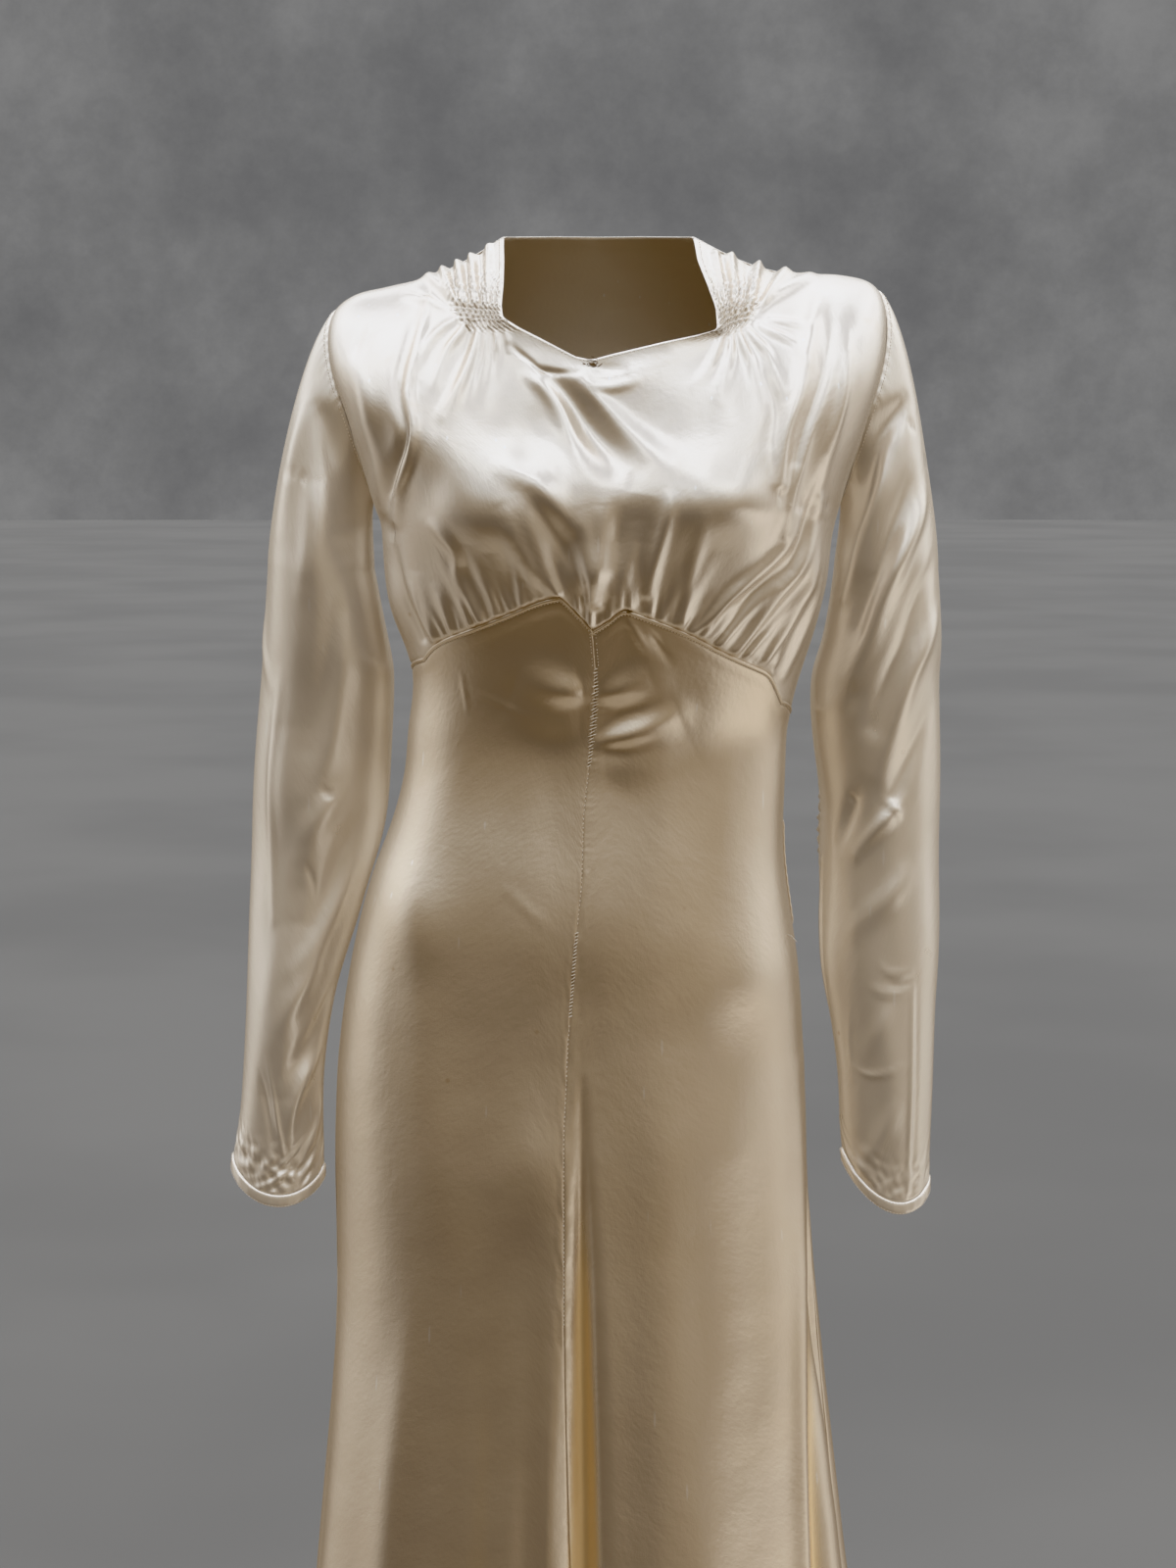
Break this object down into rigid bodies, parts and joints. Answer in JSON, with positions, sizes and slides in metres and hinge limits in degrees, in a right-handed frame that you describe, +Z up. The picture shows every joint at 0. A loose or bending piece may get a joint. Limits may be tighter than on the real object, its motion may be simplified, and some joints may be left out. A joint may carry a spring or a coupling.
{
  "type": "wedding dress",
  "caption": "Floor-length satin wedding dress with long narrow sleeves, a gathered bodice, a pointed underbust seam and shirring at the neckline, in its hollow worn form.",
  "frame": {"origin": "at shoulder height, midway between the two neck points, where the wearer's shoulders carry the dress", "axes": "+Z up along the wearer's height, -Y to the wearer's front, +X to the wearer's left"},
  "size_m": [0.5181, 0.3898, 1.3994],
  "materials": {
    "satin": "glossy ivory to champagne satin with a soft sheen"
  },
  "bodies": {
    "root": {"bodice_front": "satin", "bodice_back": "satin", "sleeve_right": "satin", "sleeve_left": "satin", "cuff_right": "satin", "cuff_left": "satin", "skirt_front_right": "satin", "skirt_front_left": "satin", "skirt_back": "satin", "placket_edge": "satin"}
  },
  "joints": []
}
